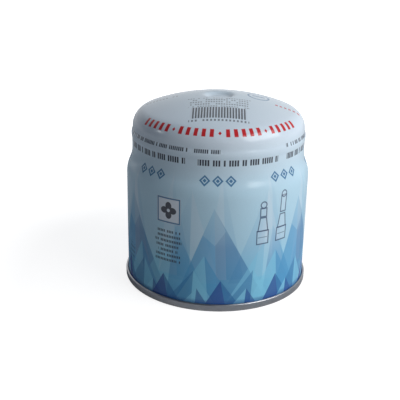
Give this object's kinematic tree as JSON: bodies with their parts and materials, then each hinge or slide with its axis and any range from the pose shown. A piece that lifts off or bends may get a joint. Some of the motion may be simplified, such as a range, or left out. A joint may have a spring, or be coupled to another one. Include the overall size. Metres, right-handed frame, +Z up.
{
  "type": "fuel canister",
  "caption": "Sealed pierceable gas canister: a necked, domed tinplate can with a shallow dimple in its top, a double seam round its foot and a hollow domed underside.",
  "frame": {"origin": "middle of the circle that the base seam stands on", "axes": "+Z up along the can's axis, -Y towards the printed front"},
  "size_m": [0.0926, 0.0926, 0.093],
  "materials": {
    "printed_tinplate": "blue print under gloss varnish, on drawn tinplate",
    "bare_tinplate": "plain rolled tinplate, satin"
  },
  "bodies": {
    "root": {"canister": "printed_tinplate"}
  },
  "joints": []
}
